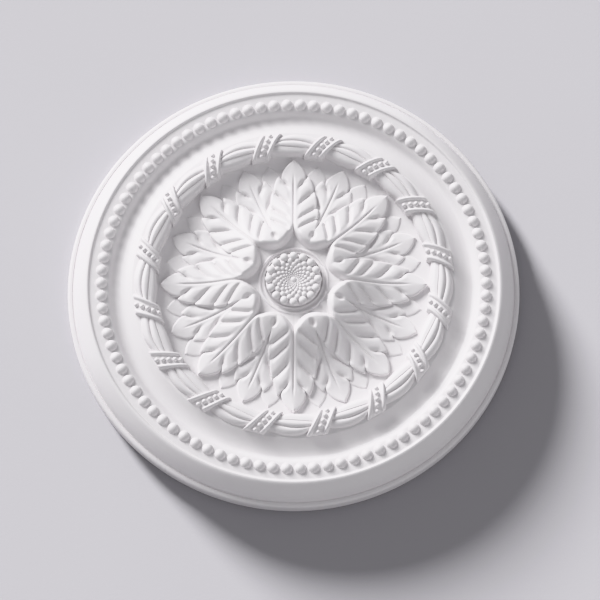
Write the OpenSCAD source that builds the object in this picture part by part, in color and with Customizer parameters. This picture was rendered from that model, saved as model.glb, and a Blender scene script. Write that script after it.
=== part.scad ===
// Round ceiling rose, cast in one piece. The flat back lies on z = 0, the carved face looks
// along +Z and the origin is the centre of the back. Radii are parts of the outer radius.

/* [Rose] */
// Outer diameter
rose_d = 500; // [350:10:800]
// Thickness of the outer lip
lip_h = 16; // [10:1:20]
// Height of the outer moulding's crest
crest_h = 38; // [35:1:42]
// Height of the channel that the pearls sit in
channel_h = 36; // [34:0.5:37]
// Height of the valley between the pearls and the wreath
valley_h = 29; // [26:0.5:32]
// Height of the floor that the leaf tips lie on
floor_h = 28.5; // [24:0.5:30]

/* [Pearls] */
// Number of pearls in the outer ring
pearl_count = 90; // [60:1:100]
// Diameter of a pearl as a part of the pitch
pearl_fill = 0.9; // [0.8:0.01:0.98]

/* [Wreath] */
// Number of ribbon bands round the wreath
band_count = 16; // [8:1:20]
// Width of a ribbon band in degrees
band_width = 7.7; // [6:0.1:9]
// Turn of a band between its inner and its outer end in degrees
band_lean = 6.2; // [0:0.1:8]
// Height of the reeds' crest
wreath_h = 43; // [41:1:46]
// Height of the band's side rolls above the reeds
band_lift = 2.5; // [1.5:0.5:4]

/* [Leaves] */
// Number of large leaves, with as many smaller ones behind them
leaf_count = 8; // [6:1:10]
// Lobes on each side of a large leaf, below its end lobe
lobe_count = 4; // [3:1:4]
// Height of the mound that the leaves bend over
mound_h = 44.5; // [41:0.5:46]
// Thickness of a large leaf above the mound
leaf_t = 7; // [5:0.5:8]

/* [Boss] */
// Height of the boss
boss_h = 53; // [52:1:60]
// Height of the bottom of the well round the boss
well_h = 41; // [36:1:43]
// Seeds in each ring on the boss
seed_count = 16; // [12:1:18]
// Rings of modelled seeds
seed_rings = 3; // [1:1:4]

/* [Hidden] */

$fn = 128;
R = rose_d / 2;
quarter_steps = 6;

// Outer moulding, from the edge inward
lip_in = 0.985;
quirk = 0.975;
ovolo_in = 0.915;
crest_in = 0.905;
channel_out = 0.892;
channel_in = 0.82;
quirk_rise = 1.5;
step_drop = 0.9;
pearl_sink = 2;
pearl_ring = 0.8475;

// Valley and cove, up to the foot of the wreath
valley_out = 0.792;
valley_in = 0.77;
foot_out = 0.711;
foot_in = 0.66;
foot_rise = 6.5;

// Wreath
wreath_out = 0.7;
wreath_in = 0.602;
wreath_edge_drop = 8.5;
band_overhang = 1.2;
reed_pinch = 1.4;
reed_groove = 1.6;
reed_columns = 4;
root_z = 8;

// Leaves
tip_r = 0.588;
shoulder_r = 0.508;
first_lobe_r = 0.44;
lobe_pitch = 0.062;
lobe_notch = 0.016;
notch_depth = 0.26;
crown_r = 0.218;
crown_slope = 0.05;
crown_round = 2;
mound_slope = 0.46;
dish_drop = 3;
dish_r = 0.47;
dish_rise = 150;
dish_round = 3;
well_r = 0.155;
root_r = 0.166;
root_cusp = 0.02;
root_slope = 0.02;
midrib_depth = 1;
step_angle = 0.3;
rosette_foot_r = 0.593;

// Boss
boss_r = 0.13;
boss_wall = 0.55;
boss_shoulder = 0.86;
boss_dish = 2.5;
seed_ring_r = 0.107;
seed_ring_step = 0.79;
seed_fill = 0.7;
collar_r = 0.15;
collar_t = 0.007;

// Quarter of an ellipse between two points, bulging towards [b.x, a.y] or towards [a.x, b.y]
function quarter(a, b, bulge_first) =
    [for (i = [0:quarter_steps])
        let (t = 90 * i / quarter_steps)
        bulge_first
            ? [a.x + (b.x - a.x) * (1 - cos(t)), a.y + (b.y - a.y) * sin(t)]
            : [a.x + (b.x - a.x) * sin(t), a.y + (b.y - a.y) * (1 - cos(t))]];

// Half section of the turned disc, from the centre of the back out and over the face
function disc_section() = concat(
    [[0, 0], [R, 0], [R, lip_h / 2]],
    quarter([R, lip_h / 2], [R * lip_in, lip_h], true),
    [[R * quirk, lip_h]],
    quarter([R * quirk, lip_h + quirk_rise], [R * ovolo_in, crest_h], true),
    [[R * crest_in, crest_h],
     [R * crest_in - 1, crest_h - step_drop],
     [R * channel_out, channel_h],
     [R * channel_in, channel_h]],
    quarter([R * channel_in - 1, channel_h - 1], [R * valley_out, valley_h], true),
    [[R * valley_in, valley_h]],
    quarter([R * valley_in - 1, valley_h], [R * foot_out, valley_h + foot_rise], false),
    [[R * foot_in, valley_h + foot_rise], [R * foot_in, floor_h], [0, floor_h]]);

module disc() {
    rotate_extrude() polygon(disc_section());
}

module pearls() {
    ring_r = R * pearl_ring;
    pearl_r = PI * ring_r / pearl_count * pearl_fill;
    for (i = [0:pearl_count - 1])
        rotate(360 * i / pearl_count)
            translate([ring_r, 0, channel_h - pearl_sink])
                sphere(pearl_r, $fn = 32);
}

// Triangles that join a closed loop of points at each column to the next column's loop
function hoop_faces(columns, loop) =
    [for (i = [0:columns - 1], j = [0:loop - 1])
        let (a = i * loop + j,
             b = i * loop + (j + 1) % loop,
             c = ((i + 1) % columns) * loop + j,
             d = ((i + 1) % columns) * loop + (j + 1) % loop)
        each [[a, d, b], [a, c, d]]];

// Columns of one band pitch: places across the band as parts of its half width, with the
// part of band_lift that each has, and then the reeds at equal steps
band_marks = [[-1, 0], [-0.86, 1], [-0.52, 1], [-0.36, 0.3], [0.36, 0.3], [0.52, 1], [0.86, 1], [1, 0]];
pitch = 360 / band_count;
reed_span = pitch - band_width;
pitch_columns = len(band_marks) + reed_columns;

function column_angle(i) =
    let (k = floor(i / pitch_columns), m = i % pitch_columns)
    pitch * (k + 0.5) + (m < len(band_marks)
        ? band_marks[m][0] * band_width / 2
        : band_width / 2 + reed_span * (m - len(band_marks) + 1) / (reed_columns + 1));

function column_lift(i) =
    let (m = i % pitch_columns) m < len(band_marks) ? band_marks[m][1] : 0;

function column_swell(i) =
    let (m = i % pitch_columns)
    m < len(band_marks) ? 0 : sin(180 * (m - len(band_marks) + 1) / (reed_columns + 1));

// Places across the wreath from its inner to its outer side, with 1 where a groove parts two reeds
reed_marks = [[0, 0], [0.14, 0], [0.3, 1], [0.45, 0], [0.6, 1], [0.8, 0], [1, 0]];

function wreath_loop(i) =
    let (lift = column_lift(i),
         swell = column_swell(i),
         side = (lift > 0 ? band_overhang : 0) - reed_pinch * (lift > 0 ? 0 : 1 - swell),
         r_in = R * wreath_in - side,
         r_out = R * wreath_out + side)
    concat(
        [[r_in, root_z, 0]],
        [for (m = reed_marks)
            let (arch = 1 - pow(2 * m[0] - 1, 2),
                 z = wreath_h - wreath_edge_drop * (1 - arch) - reed_groove * m[1] * swell
                     + band_lift * lift - reed_pinch * (1 - swell) * (lift > 0 ? 0 : 0.5))
            [r_in + (r_out - r_in) * m[0], z, m[0]]],
        [[r_out, root_z, 1]]);

module wreath() {
    columns = band_count * pitch_columns;
    points = [for (i = [0:columns - 1])
        let (a = column_angle(i))
        for (p = wreath_loop(i))
            let (t = a - band_lean * (p.z - 0.5))
            [p.x * cos(t), p.x * sin(t), p.y]];
    polyhedron(points, hoop_faces(columns, len(reed_marks) + 2));
}

// Half widths of the leaves, as parts of R against the radius
large_leaf = [[0.15, 0.1], [0.34, 0.128], [0.36, 0.108], [0.44, 0.085], [0.455, 0.06],
              [0.508, 0.051], [0.56, 0.024], [0.588, 0]];
back_leaf = [[0.3, 0.004], [0.4, 0.055], [0.46, 0.046], [0.508, 0.0545], [0.55, 0.026], [0.58, 0]];
end_tip = [[0.48, 0.038], [0.53, 0.038], [0.575, 0]];
half_sector = 180 / leaf_count;

// Rings of the rosette: well, crown, a notch and a tip for each lobe, end lobe
lobe_rings = [for (k = [lobe_count - 1:-1:0], notch = [0, 1])
    first_lobe_r - lobe_pitch * k + lobe_notch * notch];
rings = concat([well_r, 0.166, 0.18, 0.2, 0.232], lobe_rings,
               [0.482, shoulder_r, 0.54, 0.57, tip_r, rosette_foot_r]);

function is_notch(r) = len([for (k = [0:lobe_count - 1])
    if (abs(first_lobe_r - lobe_pitch * k + lobe_notch - r) < 0.001) k]) > 0;

function degrees_at(half_width, r) = asin(min(1, half_width / r));

function large_edge(r) =
    let (a = degrees_at(lookup(r, large_leaf), r) * (is_notch(r) ? 1 - notch_depth : 1))
    max(4 * step_angle, min(half_sector - 5 * step_angle, a));

function back_edge(r) =
    let (a = half_sector - degrees_at(lookup(r, back_leaf), r))
    min(half_sector - step_angle, max(large_edge(r) + 4 * step_angle, a));

// Places across half a leaf pitch: [angle, layer, place across the layer from middle to edge]
function half_columns(r) =
    let (e = large_edge(r), b = back_edge(r))
    [[0, 1, 0], [0.12 * e, 1, 0.12], [0.4 * e, 1, 0.4], [0.75 * e, 1, 0.75], [e, 1, 1],
     [e + step_angle, 3, 0], [(e + b) / 2, 3, 0], [b - step_angle, 3, 0],
     [b, 2, 1], [(b + half_sector) / 2, 2, 0.5]];
half_count = 10;

// The lower and the higher of two heights, rounded over where they meet
function lower(a, b, k) = -k * ln(exp(-a / k) + exp(-b / k));
function higher(a, b, k) = k * ln(exp(a / k) + exp(b / k));

// Height of the ground under the leaves, a cone with a round crown in a shallow dish
function mound(r) =
    let (out = (r - crown_r) * R,
         top = lower(mound_h - mound_slope * out, mound_h + crown_slope * out, crown_round))
    higher(top, floor_h - dish_drop + dish_rise * pow(max(0, r - dish_r), 2), dish_round);

// Part of the drop into the well at a place: the leaf roots end in scallops round the well, which
// reach furthest in between two large leaves
function root_drop(r, a) =
    let (edge = root_r + root_cusp * pow(1 - a / half_sector, 2))
    max(0, min(1, (edge - r) / root_slope));

function leaf_height(r, a, layer, across) =
    let (fade = min(1, max(0, (tip_r - r) / 0.02)),
         third = abs(a - half_sector / 2) < degrees_at(lookup(r, end_tip), r) ? 0.22 : 0,
         over = layer == 1 ? 1.2 - 0.3 * pow(across, 2)
              : layer == 2 ? 0.5 - 0.1 * across
              : third,
         rib = layer == 1 && across == 0 ? midrib_depth : 0,
         z = mound(r) + leaf_t * over * (0.5 + 0.5 * fade) - rib,
         drop = root_drop(r, a))
    r > tip_r ? floor_h - 2
        : r == tip_r ? floor_h - 0.5
        : z * (1 - drop) + well_h * drop;

function rosette_ring(r) =
    let (half = half_columns(r),
         sector = concat(half, [[half_sector, 2, 0]],
                         [for (i = [half_count - 1:-1:1])
                             [2 * half_sector - half[i][0], half[i][1], half[i][2]]]))
    [for (k = [0:leaf_count - 1], c = sector)
        let (t = c[0] + 2 * half_sector * k,
             a = c[0] > half_sector ? 2 * half_sector - c[0] : c[0],
             z = r == well_r ? well_h : leaf_height(r, a, c[1], c[2]))
        [R * r * cos(t), R * r * sin(t), z]];

module rosette() {
    columns = 2 * half_count * leaf_count;
    last = len(rings) - 1;
    points = concat(
        [for (r = rings) each rosette_ring(r)],
        [for (p = rosette_ring(rosette_foot_r)) [p.x, p.y, root_z]]);
    top = (last + 1) * columns;
    faces = concat(
        [[for (i = [columns - 1:-1:0]) i]],
        [for (j = [0:last], i = [0:columns - 1])
            let (a = j * columns + i,
                 b = j * columns + (i + 1) % columns,
                 c = a + columns,
                 d = b + columns)
            each [[a, b, d], [a, d, c]]],
        [[for (i = [0:columns - 1]) top + i]]);
    polyhedron(points, faces);
}

module boss() {
    wall_r = R * boss_r;
    dome_z = floor_h + (boss_h - floor_h) * boss_wall;
    rotate_extrude() polygon(concat(
        [[0, root_z], [wall_r, root_z]],
        quarter([wall_r, dome_z], [wall_r * boss_shoulder, boss_h - boss_dish], true),
        [[0, boss_h - boss_dish]]));
    translate([0, 0, well_h])
        rotate_extrude()
            translate([R * collar_r, 0])
                circle(R * collar_t, $fn = 24);
}

module seeds() {
    for (ring = [0:seed_rings - 1]) {
        ring_r = R * seed_ring_r * pow(seed_ring_step, ring);
        seed_r = PI * ring_r / seed_count * seed_fill;
        for (i = [0:seed_count - 1])
            rotate(360 * (i + ring / 2) / seed_count)
                translate([ring_r, 0, boss_h - seed_r])
                    sphere(seed_r, $fn = 24);
    }
}

module ceiling_rose() {
    color("#f4f3f1")
        union() {
            disc();
            pearls();
            wreath();
            rosette();
            boss();
            seeds();
        }
}

ceiling_rose();
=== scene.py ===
# Round ceiling rose, cast in one piece and primed white. Its flat back lies on z = 0 and its
# carved face looks along +Z. Lengths are in metres; radii are mostly parts of the outer radius.
import math

import bpy
import numpy as np
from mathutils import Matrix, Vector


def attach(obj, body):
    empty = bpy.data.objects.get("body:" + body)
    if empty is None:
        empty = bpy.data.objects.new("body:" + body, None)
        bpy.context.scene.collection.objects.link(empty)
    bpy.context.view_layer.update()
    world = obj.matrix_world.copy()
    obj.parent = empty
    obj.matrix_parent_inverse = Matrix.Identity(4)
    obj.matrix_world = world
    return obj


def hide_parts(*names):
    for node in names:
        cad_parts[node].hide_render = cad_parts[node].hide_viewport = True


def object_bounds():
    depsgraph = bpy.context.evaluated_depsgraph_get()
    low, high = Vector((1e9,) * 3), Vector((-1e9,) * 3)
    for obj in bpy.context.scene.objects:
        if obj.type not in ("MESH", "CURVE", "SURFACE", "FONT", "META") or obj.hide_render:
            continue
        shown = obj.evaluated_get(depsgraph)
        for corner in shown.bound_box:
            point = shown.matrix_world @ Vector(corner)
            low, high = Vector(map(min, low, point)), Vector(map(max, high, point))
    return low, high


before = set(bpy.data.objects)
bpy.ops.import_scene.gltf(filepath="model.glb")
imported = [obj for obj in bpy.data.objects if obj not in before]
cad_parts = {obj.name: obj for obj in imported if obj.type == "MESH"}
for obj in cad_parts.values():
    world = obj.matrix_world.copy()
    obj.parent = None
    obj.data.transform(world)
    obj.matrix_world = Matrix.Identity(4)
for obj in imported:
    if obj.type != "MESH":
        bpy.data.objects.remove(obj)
cad_low, cad_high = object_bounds()
scene = bpy.context.scene
R = cad_high.x
MM = 0.001


# --- Studio -------------------------------------------------------------------------------
# A pale painted board carries the rose, with even, weak light all round. The lamps are set at
# the end, when there is something to light.
camera_height = 71.0
lens = 180.0
sensor = 36.0
picture_width = 1.333 * 2 * R
aim = (0.0070, -0.0075, 0.0)

sky_power = 0.31


class Wire:
    """A socket of a node tree. Sums on it add Math nodes, and add() makes any other node."""

    def __init__(self, tree, socket=None):
        self.tree = tree
        self.socket = socket

    def add(self, kind, settings=None, sockets=None, output=0):
        node = self.tree.nodes.new(kind)
        for name, value in (settings or {}).items():
            if name == "stops":
                for stop, (place, shade) in zip(node.color_ramp.elements, value):
                    stop.position = place
                    stop.color = shade
            else:
                setattr(node, name, value)
        for name, value in (sockets or {}).items():
            if isinstance(value, Wire):
                self.tree.links.new(value.socket, node.inputs[name])
            else:
                node.inputs[name].default_value = value
        return Wire(self.tree, node.outputs[output])

    def math(self, operation, first, second):
        return self.add("ShaderNodeMath", {"operation": operation}, {0: first, 1: second})

    def __add__(self, other):
        return self.math("ADD", self, other)

    def __sub__(self, other):
        return self.math("SUBTRACT", self, other)

    def __mul__(self, other):
        return self.math("MULTIPLY", self, other)

    __radd__ = __add__
    __rmul__ = __mul__

    def __rsub__(self, other):
        return self.math("SUBTRACT", other, self)


def new_material(name):
    """A material, its output node and a Wire to build on."""
    material = bpy.data.materials.new(name)
    material.use_nodes = True
    tree = material.node_tree
    tree.nodes.clear()
    return material, tree.nodes.new("ShaderNodeOutputMaterial"), Wire(tree)


def mixed(paint, factor, low, high):
    """A colour between two others."""
    sockets = {0: factor, 6: low, 7: high}
    return paint.add("ShaderNodeMix", {"data_type": "RGBA"}, sockets, output=2)


def noise(paint, where, scale, detail, roughness=0.5):
    sockets = {"Vector": where, "Scale": scale, "Detail": detail, "Roughness": roughness}
    return paint.add("ShaderNodeTexNoise", {}, sockets)


def board_paint():
    """Matt emulsion on a smooth board."""
    material, output, paint = new_material("pale_grey_emulsion")
    where = paint.add("ShaderNodeTexCoord", output=3)
    cloud = noise(paint, where, 3.0, 3.0)
    grain = noise(paint, where, 420.0, 2.0)
    tint = mixed(paint, cloud, (0.352, 0.344, 0.363, 1), (0.368, 0.360, 0.379, 1))
    bump = paint.add("ShaderNodeBump", {}, {"Strength": 0.12, "Distance": 0.0004, "Height": grain})
    sockets = {
        "Base Color": tint,
        "Roughness": 0.72 + 0.08 * grain,
        "Specular IOR Level": 0.12,
        "Normal": bump,
    }
    shader = paint.add("ShaderNodeBsdfPrincipled", {}, sockets)
    paint.tree.links.new(shader.socket, output.inputs["Surface"])
    return material


bpy.ops.mesh.primitive_plane_add(size=60)
board = bpy.context.object
board.name = "board"
board.data.materials.append(board_paint())

world = bpy.data.worlds.new("studio_air")
world.use_nodes = True
world.node_tree.nodes["Background"].inputs["Color"].default_value = (0.97, 0.96, 1.0, 1)
world.node_tree.nodes["Background"].inputs["Strength"].default_value = sky_power
scene.world = world
scene.view_settings.view_transform = "Khronos PBR Neutral"

camera_data = bpy.data.cameras.new("camera")
camera_data.lens = lens
camera_data.sensor_width = sensor
camera = bpy.data.objects.new("camera", camera_data)
distance = picture_width * lens / sensor
tilt = math.radians(camera_height)
camera.location = (aim[0], aim[1] - distance * math.cos(tilt), aim[2] + distance * math.sin(tilt))
camera.rotation_euler = (math.pi / 2 - tilt, 0, 0)
camera_data.clip_end = 100
scene.collection.objects.link(camera)
scene.camera = camera


# --- Moulded disc --------------------------------------------------------------------------
# The ground of the casting, turned from one profile: a square lip, a fat ovolo, a step into
# the channel for the pearls, a valley, and a cove up to the wreath. Hard foam, primed white.
lip_z = 16 * MM
crest_z = 38 * MM
channel_z = 36.2 * MM
foot_z = 35 * MM
mound_z = 44.5 * MM
crown_r = 0.218
crown_round = 2 * MM
root_slope = 0.05
mound_slope = 0.46
dish_z = 25.5 * MM
dish_r = 0.47
dish_rise = 150 * MM
dish_round = 3 * MM
floor_z = 28.5 * MM
well_z = 41.5 * MM
seat_r = 0.66
floor_r = 0.61
leaves_in, leaves_out = 0.215, 0.6
well_out, well_in = 0.2, 0.15
disc_columns = 480


def casting_paint():
    """Satin white primer sprayed thin over hard foam, rougher in the hollows and with painted shade
    darkening them.
    """
    material, output, paint = new_material("satin_white_primer")
    where = paint.add("ShaderNodeTexCoord", output=3)
    hollow = paint.add("ShaderNodeAttribute", {"attribute_name": "hollow"}, {}, output=2)
    cloud = noise(paint, where, 14.0, 4.0)
    speck = noise(paint, where, 260.0, 3.0, 0.6)
    spray = noise(paint, where, 1500.0, 2.0)
    tone = mixed(paint, cloud, (0.845, 0.825, 0.835, 1), (0.885, 0.865, 0.875, 1))
    # Painted shade: the hollows are mixed towards a darker grey, standing in for the shade that falls in
    # them.
    tone = mixed(paint, 0.35 * hollow, tone, (0.74, 0.715, 0.72, 1))
    relief = 0.6 * speck + 0.4 * spray
    bump = paint.add("ShaderNodeBump", {}, {"Strength": 0.18, "Distance": 0.0003, "Height": relief})
    sockets = {
        "Base Color": tone,
        "Roughness": 0.4 + 0.12 * speck + 0.15 * hollow,
        "Normal": bump,
    }
    shader = paint.add("ShaderNodeBsdfPrincipled", {}, sockets)
    paint.tree.links.new(shader.socket, output.inputs["Surface"])
    return material


primer = casting_paint()


def add_piece(name, points, faces, hollow=None, crease=38):
    """One mesh of the casting, smooth but for edges sharper than crease degrees."""
    mesh = bpy.data.meshes.new(name)
    mesh.from_pydata(np.asarray(points, float).tolist(), [], faces)
    if hollow is not None:
        # hollow: how much each place is a groove, vein or eye; the primer paints shade there from it.
        layer = mesh.attributes.new("hollow", "FLOAT", "POINT")
        layer.data.foreach_set("value", np.asarray(hollow, np.float32))
    mesh.validate()
    mesh.shade_smooth()
    mesh.set_sharp_from_angle(angle=math.radians(crease))
    mesh.materials.append(primer)
    piece = bpy.data.objects.new(name, mesh)
    scene.collection.objects.link(piece)
    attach(piece, "root")
    return piece


def quarter(a, b, rise_first, steps=14):
    """Points of a quarter ellipse from a to b, which leaves a straight up or straight along."""
    t = np.linspace(0, math.pi / 2, steps + 1)
    slow, fast = 1 - np.cos(t), np.sin(t)
    x, z = (slow, fast) if rise_first else (fast, slow)
    return list(zip(a[0] + (b[0] - a[0]) * x, a[1] + (b[1] - a[1]) * z))


def through(points, count):
    """Places from 0 to 1, crowded at both ends, and a smooth line through points at them."""
    p = np.array([list(q) for q in points])
    padded = np.vstack([2 * p[0] - p[1], p, 2 * p[-1] - p[-2]])
    length = np.concatenate([[0], np.cumsum(np.linalg.norm(np.diff(p, axis=0), axis=1))])
    t = 0.5 - 0.5 * np.cos(math.pi * np.linspace(0, 1, count))
    where = np.interp(t * length[-1], length, np.arange(len(p)))
    i = np.minimum(where.astype(int), len(p) - 2)
    f = (where - i)[:, None]
    a, b, c, d = padded[i], padded[i + 1], padded[i + 2], padded[i + 3]
    bend = 2 * b + (c - a) * f + (2 * a - 5 * b + 4 * c - d) * f**2 + (3 * b - a - 3 * c + d) * f**3
    return t, bend / 2


def lathe(profile, columns):
    """Points and faces of a profile turned about Z; its first and last points are on the axis."""
    ring = profile[1:-1]
    turn = np.linspace(0, 2 * math.pi, columns, endpoint=False)
    points = [(r * c, r * s, z) for r, z in ring for c, s in zip(np.cos(turn), np.sin(turn))]
    faces = []
    for i in range(len(ring) - 1):
        for j in range(columns):
            a, b = i * columns + j, i * columns + (j + 1) % columns
            faces.append((a, b, b + columns, a + columns))
    start, end = len(points), len(points) + 1
    points += [(0, 0, profile[0][1]), (0, 0, profile[-1][1])]
    last = (len(ring) - 1) * columns
    for j in range(columns):
        k = (j + 1) % columns
        faces.append((start, k, j))
        faces.append((end, last + j, last + k))
    return points, faces


def mound(rho):
    """Height of the ground under the leaves: a cone with a round crown, in a shallow dish."""
    outside = mound_z - (rho - crown_r) * R * mound_slope
    inside = mound_z + (rho - crown_r) * R * root_slope
    top = -crown_round * np.log(np.exp(-outside / crown_round) + np.exp(-inside / crown_round))
    dish = dish_z + dish_rise * np.maximum(rho - dish_r, 0) ** 2
    return dish_round * np.log(np.exp(top / dish_round) + np.exp(dish / dish_round))


# Down from the crest, in millimetres, at places on the ovolo
ovolo_drops = [(0.968, 16.2), (0.958, 11.6), (0.945, 7.2), (0.932, 3.7), (0.922, 1.4),
               (0.915, 0.3), (0.9095, 0)]


# Places and heights in millimetres, from the pearls down into the valley and up to the wreath
valley_line = [(0.842, 36.0), (0.830, 35.7), (0.820, 35.1), (0.813, 34.0), (0.806, 32.2), (0.799, 30.4),
               (0.791, 29.3), (0.780, 29.0), (0.768, 29.2), (0.756, 29.9), (0.744, 31.0), (0.733, 32.4),
               (0.722, 34.1), (0.711, 35.8)]


def disc_profile():
    """Radii and heights from the middle of the back, round the rim, to the middle of the well."""
    edge = [(R - 0.0008, 0), (R, 0.0008)]
    lip = quarter((R, lip_z - 0.003), (0.986 * R, lip_z), True, 8)
    quirk = [(0.981 * R, lip_z), (0.9775 * R, lip_z - 0.0009), (0.9745 * R, lip_z)]
    swell = [(0.974 * R, lip_z + 0.001), *((r * R, crest_z - d * MM) for r, d in ovolo_drops)]
    ovolo = list(through(swell, 26)[1])
    crest = quarter((0.9085 * R, crest_z), (0.903 * R, crest_z - 0.0009), False, 6)
    channel = quarter((0.901 * R, crest_z - 0.0012), (0.892 * R, channel_z), True, 6)
    valley = list(through([(r * R, z * MM) for r, z in valley_line], 44)[1])
    seat = [(seat_r * R, foot_z), (seat_r * R, floor_z), (floor_r * R, floor_z)]
    rho = np.linspace(leaves_out, leaves_in, 40)
    rise = list(zip(rho * R, mound(rho)))
    well = [(well_out * R, well_z), (well_in * R, well_z)]
    return [(0, 0), *edge, *lip, *quirk, *ovolo, *crest, *channel,
            *valley, *seat, *rise, *well, (0, well_z)]


disc = add_piece("moulded_disc", *lathe(disc_profile(), disc_columns))
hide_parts("ceiling_rose")


# --- Rim pearls ----------------------------------------------------------------------------
# Ninety round pearls stand in the channel and all but touch each other. They are cast with
# the disc and sink a little into it.
pearl_count = 90
pearl_ring = 0.8475
pearl_r = 6.6 * MM
pearl_z = channel_z - 2 * MM


def ball(columns, rows):
    """Points and faces of a unit sphere."""
    t = np.linspace(0, math.pi, rows + 1)
    points, faces = lathe(list(zip(np.sin(t), -np.cos(t))), columns)
    return np.array(points), faces


def repeated(points, faces, places):
    """Copies of one mesh, each given as (centre, (size x, y, z), turn about Z in radians)."""
    all_points, all_faces = [], []
    for centre, size, turn in places:
        start = len(all_points) * len(points)
        c, s = math.cos(turn), math.sin(turn)
        p = points * np.array(size)
        p = np.column_stack([p[:, 0] * c - p[:, 1] * s, p[:, 0] * s + p[:, 1] * c, p[:, 2]])
        all_points.append(p + np.array(centre))
        all_faces += [tuple(k + start for k in f) for f in faces]
    return np.concatenate(all_points), all_faces


def on_circle(radius, turn, z):
    return (radius * math.cos(turn), radius * math.sin(turn), z)


places = []
for i in range(pearl_count):
    turn = 2 * math.pi * i / pearl_count
    places.append((on_circle(pearl_ring * R, turn, pearl_z), (pearl_r,) * 3, turn))
add_piece("rim_pearls", *repeated(*ball(26, 16), places), crease=180)


# --- Reeds of the wreath -------------------------------------------------------------------
# A bundle of three reeds runs round inside the cove. It swells between the ribbons and is
# pinched where they bind it, most of all the middle reed, which shows as a long lens.
band_count = 16
band_lean = math.radians(6.2)
band_half = math.radians(3.85)
pitch = 2 * math.pi / band_count
reed_in, reed_out = 0.632, 0.672
reed_swell = 0.032
inner_peak, outer_peak = 0.38, 0.58
reed_edge_z = 34.2 * MM
reed_arch = 6.0 * MM
reed_round = 2.8 * MM
reed_join = 0.9 * MM
reed_middle = 0.505
lens_least, lens_most = 0.055, 0.155
reed_lift = (0.6, 1.0, 0.9)
columns_per_pitch = 44
reed_steps = 15
wreath_foot_z = floor_z - 4 * MM


def band_place(k, s, u):
    """Angle of a place s along pitch k, from band to band, and u across the wreath."""
    return pitch * (k + 0.5 + s) - band_lean * (u - 0.5)


def reed_section(s):
    """Radii and heights across the bundle, from its inner side to its outer side."""
    inner, outer = (math.sin(math.pi * s ** (math.log(0.5) / math.log(peak))) ** 0.85
                    for peak in (inner_peak, outer_peak))
    swell = (inner + outer) / 2
    lens = lens_least + (lens_most - lens_least) * swell
    bounds = np.array([0.0, reed_middle - lens, reed_middle + lens, 1.0])
    across = np.append(np.tile(np.arange(reed_steps) / reed_steps, 3), 1.0)
    which = np.append(np.repeat(np.arange(3), reed_steps), 2)
    u = bounds[which] + (bounds[which + 1] - bounds[which]) * across
    arch = np.sqrt(np.maximum(1 - (2 * u - 1) ** 2, 0))
    roll = np.maximum(1 - (2 * across - 1) ** 2, 0) ** 0.62
    z = reed_edge_z + reed_arch * arch * (0.75 + 0.25 * swell)
    z = z + reed_round * roll * np.array(reed_lift)[which] * (0.45 + 0.55 * swell)
    r = reed_in - reed_swell * inner
    r = r + (reed_out + reed_swell * outer - r) * u
    z = z + reed_join * np.exp(-(((u - bounds[1]) / 0.06) ** 2)) * swell
    hollow = np.exp(-((np.minimum(across, 1 - across) / 0.09) ** 2)) * (u > 0.02) * (u < 0.98)
    return u, r * R, z, hollow


def hoop(sections):
    """Points and faces of closed sections set round a ring and joined to each other."""
    count, size = len(sections), len(sections[0])
    points = np.concatenate(sections)
    faces = []
    for i in range(count):
        for j in range(size):
            a, b = i * size + j, i * size + (j + 1) % size
            c, d = ((i + 1) % count) * size + j, ((i + 1) % count) * size + (j + 1) % size
            faces.append((a, c, d, b))
    return points, faces


sections, hollows = [], []
for k in range(band_count):
    for i in range(columns_per_pitch):
        s = i / columns_per_pitch
        u, r, z, hollow = reed_section(s)
        turn = band_place(k, s, u)
        u = np.concatenate([[0.0], u, [1.0]])
        r = np.concatenate([[r[0]], r, [r[-1]]])
        z = np.concatenate([[wreath_foot_z], z, [wreath_foot_z]])
        turn = np.concatenate([[turn[0]], turn, [turn[-1]]])
        hollows.append(np.concatenate([[0.0], hollow, [0.0]]))
        sections.append(np.column_stack([r * np.cos(turn), r * np.sin(turn), z]))
add_piece("wreath_reeds", *hoop(sections), hollow=np.concatenate(hollows), crease=50)


# --- Ribbons -------------------------------------------------------------------------------
# Sixteen ribbons bind the reeds on the slant. Each has two plain rolled edges with a sunk
# row of small pearls between them, and laps over both sides of the bundle.
band_in, band_out = 0.5965, 0.7085
band_base_z = 35.4 * MM
band_arch = 7.4 * MM
band_roll = 2.8 * MM
band_sink = 0.6 * MM
band_strip = 0.53
ribbon_pearl_r = 2.65 * MM
band_rows, band_columns = 40, 36
ribbon_pearls = 5


def band_height(u):
    """Height of the strip between a ribbon's rolls, at a place u across the wreath."""
    return band_base_z + band_arch * np.sqrt(np.maximum(1 - (2 * u - 1) ** 2, 0))


def grid_solid(top, bottom_z):
    """Points and faces of a closed solid under a grid of points, with upright sides."""
    rows, columns = top.shape[:2]
    faces = []
    for i in range(rows - 1):
        for j in range(columns - 1):
            a = i * columns + j
            faces.append((a, a + 1, a + columns + 1, a + columns))
    border = list(range(columns))
    border += [i * columns + columns - 1 for i in range(1, rows)]
    border += [(rows - 1) * columns + j for j in range(columns - 2, -1, -1)]
    border += [i * columns for i in range(rows - 2, 0, -1)]
    points = top.reshape(-1, 3)
    foot = points[border].copy()
    foot[:, 2] = bottom_z
    start = len(points)
    size = len(border)
    for n in range(size):
        m = (n + 1) % size
        faces.append((border[m], border[n], start + n, start + m))
    faces.append(tuple(start + n for n in range(size)))
    return np.concatenate([points, foot]), faces, size


def joined(solids):
    """One mesh out of several (points, faces) pairs."""
    points, faces, start = [], [], 0
    for p, f in solids:
        points.append(p)
        faces += [tuple(k + start for k in face) for face in f]
        start += len(p)
    return np.concatenate(points), faces


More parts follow.
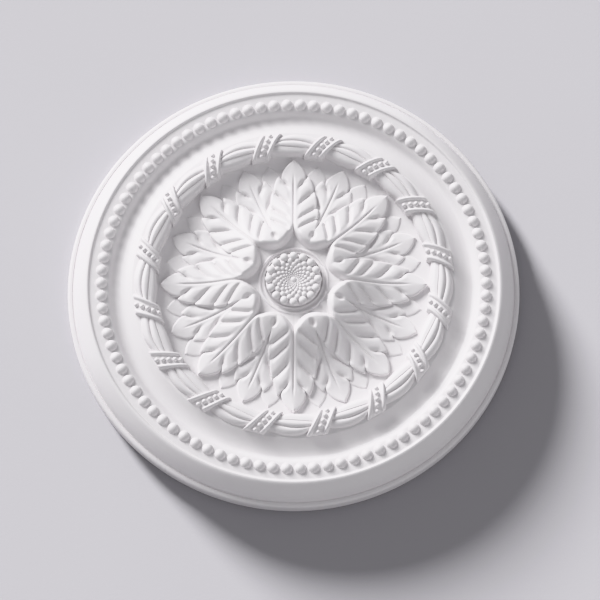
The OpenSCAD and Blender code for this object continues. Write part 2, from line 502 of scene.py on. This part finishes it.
solids, places = [], []
for k in range(band_count):
    u = np.linspace(0, 1, band_rows)
    w = np.linspace(-1, 1, band_columns)
    grid_u, grid_w = np.meshgrid(u, w, indexing="ij")
    edge = np.clip((np.abs(grid_w) - band_strip) / (1 - band_strip), 0, 1)
    roll = np.sqrt(np.maximum(1 - (2 * edge - 1) ** 2, 0)) * (edge > 0)
    z = band_height(grid_u) - band_sink + band_roll * roll
    radius = (band_in + (band_out - band_in) * grid_u) * R
    turn = pitch * (k + 0.5) - band_lean * (grid_u - 0.5) + band_half * grid_w
    top = np.stack([radius * np.cos(turn), radius * np.sin(turn), z], axis=-1)
    solids.append(grid_solid(top[:, ::-1], wreath_foot_z)[:2])
    for i in range(ribbon_pearls):
        across = (i + 0.5) / ribbon_pearls
        turn = pitch * (k + 0.5) - band_lean * (across - 0.5)
        radius = (band_in + (band_out - band_in) * across) * R
        z = float(band_height(across))
        places.append((on_circle(radius, turn, z), (ribbon_pearl_r,) * 3, turn))
add_piece("ribbon_bands", *joined(solids), crease=50)
add_piece("ribbon_pearls", *repeated(*ball(14, 10), places), crease=180)


# --- Leaves --------------------------------------------------------------------------------
# Acanthus leaves bend over the mound in three layers: sixteen plain tips, eight lobed leaves,
# and eight large ones on top, whose roots part at the midrib and curl down into the well.
sector = math.radians(22.5)
axis = np.array([math.sin(sector), math.cos(sector)])

# Each stretch of half a leaf runs from one side vein to the next: its two places on the
# midrib, and its outline as (out from the midrib, up along it)
root = (0.150, 0.222, [0.150 * axis, 0.18 * axis, 0.21 * axis, 0.24 * axis, 0.258 * axis,
                       (0.1052, 0.265), (0.1065, 0.283), (0.0975, 0.290)])
lobes = [
    (0.222, 0.272, [(0.0975, 0.290), (0.1080, 0.300), (0.1115, 0.323), (0.1070, 0.347), (0.0945, 0.350)]),
    (0.272, 0.345, [(0.0945, 0.350), (0.1025, 0.362), (0.1030, 0.396), (0.0935, 0.433), (0.0780, 0.425)]),
    (0.345, 0.430, [(0.0780, 0.425), (0.0885, 0.441), (0.0845, 0.475), (0.0680, 0.510), (0.0460, 0.484)]),
]
end_lobe = (0.430, 0.588, [(0.0460, 0.484), (0.0530, 0.500), (0.0540, 0.516), (0.0450, 0.540),
                           (0.0240, 0.569), (0.0012, 0.588)])
tip_lobe = (0.400, 0.572, [(0.0300, 0.400), (0.0360, 0.455), (0.0430, 0.500), (0.0420, 0.522),
                           (0.0220, 0.553), (0.0012, 0.572)])
stretch_rows = {"root": 72, "lobe": 22, "end": 30}

leaf_crown = 2.4 * MM
lobe_roll = 0.7 * MM
vein_width = 0.017
vein_depth = 2.5 * MM
midrib_width = 0.0075
midrib_depth = 1.6 * MM
rim_width = 0.0075
rim_drop = 1.1 * MM
eye_r = 0.2195
eye_half_length, eye_half_width = 0.026, 0.019
eye_depth = 3.2 * MM
root_lip = 0.030
root_blend = 0.009
root_edge, root_edge_bow = 0.164, 0.010
root_z = well_z + 1 * MM
leaf_foot_z = floor_z - 6 * MM
leaf_pitch = math.pi / 4
large_layer, back_layer, tip_layer = 7.0 * MM, 3.5 * MM, 1.4 * MM


def smooth_step(low, high, x):
    t = np.clip((x - low) / (high - low), 0, 1)
    return t * t * (3 - 2 * t)


def distance_to(line, places):
    """Distance of every place to a line of points."""
    fine = np.linspace(0, len(line) - 1, 3 * len(line))
    steps = np.arange(len(line))
    dense = np.column_stack([np.interp(fine, steps, line[:, 0]), np.interp(fine, steps, line[:, 1])])
    return np.linalg.norm(places[:, :, None] - dense, axis=3).min(axis=2)


def half_leaf(stretches, columns):
    """Grid over half a leaf: out, up, distance to the nearest vein and to the rim, v across."""
    v = np.linspace(0, 1, columns) ** 0.85
    blocks = []
    for kind, (low, high, outline) in stretches:
        t, edge = through(outline, stretch_rows[kind])
        start = np.column_stack([np.zeros(len(t)), low + (high - low) * t])
        turn = start + (edge - start) * np.array([0.46, 0.53])
        a, b, c = start[:, None], turn[:, None], edge[:, None]
        w = v[None, :, None]
        line = (1 - w) ** 2 * a + 2 * w * (1 - w) * b + w**2 * c
        vein = np.full(line.shape[:2], 1.0)
        if kind != "root":
            vein = distance_to(line[0], line)
        if kind in ("root", "lobe"):
            vein = np.minimum(vein, distance_to(line[-1], line))
        block = np.dstack([line, vein, distance_to(edge, line), np.broadcast_to(v, vein.shape)])
        blocks.append(block if kind == "end" else block[:-1])
    return np.concatenate(blocks)


def groove(distance, width):
    """A V groove with rounded shoulders: 1 on its line and 0 from width away."""
    return np.clip(1 - distance / width, 0, 1) ** 1.4


def leaf_heights(half, layer, crown, veined, rooted):
    """Heights over half a leaf, and how much each place is a hollow."""
    out, up, vein, rim, v = np.moveaxis(half, 2, 0)
    rho = np.hypot(out, up)
    away = 1 - 0.3 * smooth_step(0.28, 0.54, rho)
    z = mound(rho) + layer * away + crown * (1 - v**2) * (1 - 0.6 * smooth_step(0.46, 0.6, rho))
    reach = smooth_step(0.013, 0.034, out)
    free = smooth_step(0.25, 0.265, rho)
    edge = np.clip(1 - rim / rim_width, 0, 1)
    cut = rim_drop * (1 - np.sqrt(1 - edge**2)) * free
    hollow = np.zeros_like(z)
    if veined:
        veins = groove(vein, vein_width) * reach * (0.45 + 0.55 * smooth_step(0, 0.012, rim))
        rib = groove(out, midrib_width) * smooth_step(0.53, 0.46, up)
        strip = smooth_step(0, 0.03, vein) * reach * smooth_step(0.51, 0.48, up)
        z = z + lobe_roll * strip
        cut = np.maximum(cut, np.maximum(vein_depth * veins, midrib_depth * rib))
        hollow = np.maximum(veins, rib)
    z = z - cut
    if rooted:
        cusp = (out - 0.62 * (0.224 - up)) * 0.85
        ring_edge = root_edge + root_edge_bow * (1 - np.arctan2(out, up) / sector) ** 2
        inside = -root_blend * np.log(np.exp(-cusp / root_blend) + np.exp(-(rho - ring_edge) / root_blend))
        inside = inside + 0.3 * root_blend
        lip = np.clip(inside / root_lip, 0, 1)
        z = root_z + (z - root_z) * (1 - (1 - lip) ** 2) ** 0.8
        along = out * axis[0] + up * axis[1] - eye_r
        beside = out * axis[1] - up * axis[0]
        eye = 1 - smooth_step(0, 1, np.hypot(along / eye_half_length, beside / eye_half_width))
        z = z - eye_depth * eye
        hollow = np.maximum(hollow, eye)
    return z, np.clip(hollow, 0, 1)


def leaf_ring(name, stretches, columns, layer, crown, turns, bottom, veined=True, rooted=False, scale=1.0):
    """A ring of like leaves, each a closed solid that sinks into what lies under it."""
    half = half_leaf(stretches, columns)
    half[..., :2] *= scale
    z, hollow = leaf_heights(half, layer, crown, veined, rooted)
    right = np.dstack([half[..., 1] * R, -half[..., 0] * R, z])
    left = right[:, :0:-1] * np.array([1, -1, 1])
    leaf = np.concatenate([left, right], axis=1)
    hollow = np.concatenate([hollow[:, :0:-1], hollow], axis=1)
    points, faces, size = grid_solid(leaf[:, ::-1], bottom)
    marks = np.concatenate([hollow[:, ::-1].ravel(), np.zeros(size)])
    places = [((0, 0, 0), (1, 1, 1), turn) for turn in turns]
    return add_piece(name, *repeated(points, faces, places), hollow=np.tile(marks, len(turns)), crease=55)


veined_leaf = [*(("lobe", x) for x in lobes), ("end", end_lobe)]
leaf_ring("large_leaves", [("root", root), *veined_leaf], 32, large_layer, leaf_crown,
          [leaf_pitch * k for k in range(8)], leaf_foot_z, rooted=True)
leaf_ring("back_leaves", veined_leaf, 26, back_layer, 0.5 * leaf_crown,
          [leaf_pitch * (k + 0.5) for k in range(8)], leaf_foot_z, scale=0.992)
leaf_ring("leaf_tips", [("end", tip_lobe)], 14, tip_layer, 0.3 * leaf_crown,
          [leaf_pitch * (k + 0.5) / 2 for k in range(16)], leaf_foot_z, veined=False)


# --- Boss ----------------------------------------------------------------------------------
# A button rises out of the well inside a thin round collar. Its sides are plain and its top is
# packed with seeds in staggered rings that shrink to a slightly dished middle.
boss_r = 0.1275 * R
face_r = 0.86 * boss_r
boss_top = 50.7 * MM
seed_count = 16
seed_rings = (0.1070, 0.0850, 0.0685, 0.0550, 0.0440, 0.0350, 0.0270, 0.0200)
outer_seed_fill, seed_fill = 0.45, 0.40
outer_seed_lift, seed_lift = 0.3, 0.1
seed_flat = 0.8
middle_seed = (3 * MM, 3 * MM, 1.5 * MM)
collar_r = 0.15 * R
collar_half_width, collar_half_height = 1.6 * MM, 1.8 * MM


def button_z(r):
    """Height of the button's face under the seeds."""
    x = r / face_r
    return boss_top - 0.0015 - 0.0015 * x**5 - 0.0018 * np.exp(-((r / (0.45 * boss_r)) ** 2))


neck = quarter((1.06 * boss_r, well_z), (boss_r, well_z + 0.004), False, 8)
shoulder = quarter((0.99 * boss_r, boss_top - 0.010), (face_r, float(button_z(face_r))), True, 16)
face = [(r, float(button_z(r))) for r in np.linspace(0.84, 0.04, 24) * boss_r]
button = [(0, well_z - 0.004), (1.06 * boss_r, well_z - 0.004), *neck, *shoulder, *face,
          (0, float(button_z(0.0)))]
add_piece("boss_button", *lathe(button, 128))

places = []
for ring, part in enumerate(seed_rings):
    radius = part * R
    fill = seed_fill if ring else outer_seed_fill
    lift = seed_lift if ring else outer_seed_lift
    size = 2 * math.pi * radius / seed_count * fill
    for i in range(seed_count):
        turn = 2 * math.pi * (i + ring / 2) / seed_count
        z = float(button_z(radius)) + lift * size
        places.append((on_circle(radius, turn, z), (size, size, seed_flat * size), turn))
places.append(((0, 0, float(button_z(0.0))), middle_seed, 0.0))
add_piece("boss_seeds", *repeated(*ball(18, 12), places), crease=180)

collar = []
for turn in np.linspace(0, 2 * math.pi, 160, endpoint=False):
    t = np.linspace(0, -2 * math.pi, 18, endpoint=False)
    r = collar_r + collar_half_width * np.cos(t)
    z = well_z + 0.0004 + collar_half_height * np.sin(t)
    collar.append(np.column_stack([r * math.cos(turn), r * math.sin(turn), z]))
add_piece("well_collar", *hoop(collar), crease=180)


# --- Lamps ---------------------------------------------------------------------------------
# One soft lamp from the upper left models the carving and a weak one from the lower right opens
# its shaded sides. On the board alone, a low, harder lamp throws the long shadow and a weak,
# very soft one from overhead evens it out.
# Each lamp is its power, its direction and height in degrees, and the angle that it fills.
carving_lamp = (3.8, 130.0, 25.0, 28.0)
fill_lamp = (0.52, -50.0, 35.0, 70.0)
board_lamp = (16.6, 125.5, 14.0, 11.0)
board_fill_lamp = (0.75, 0.0, 90.0, 170.0)


def add_lamp(name, lamp, lit):
    """A distant lamp that lights only the given objects."""
    power, direction, height, softness = lamp
    data = bpy.data.lights.new(name, "SUN")
    data.energy = power
    data.angle = math.radians(softness)
    lamp = bpy.data.objects.new(name, data)
    lamp.rotation_euler = (0, math.radians(90 - height), math.radians(direction))
    scene.collection.objects.link(lamp)
    receivers = bpy.data.collections.new(f"lit_by_{name}")
    for thing in lit:
        receivers.objects.link(thing)
    lamp.light_linking.receiver_collection = receivers


pieces = [thing for thing in scene.objects if thing.type == "MESH" and thing != board]
add_lamp("carving_lamp", carving_lamp, pieces)
add_lamp("fill_lamp", fill_lamp, pieces)
add_lamp("board_lamp", board_lamp, [board])
add_lamp("board_fill_lamp", board_fill_lamp, [board])
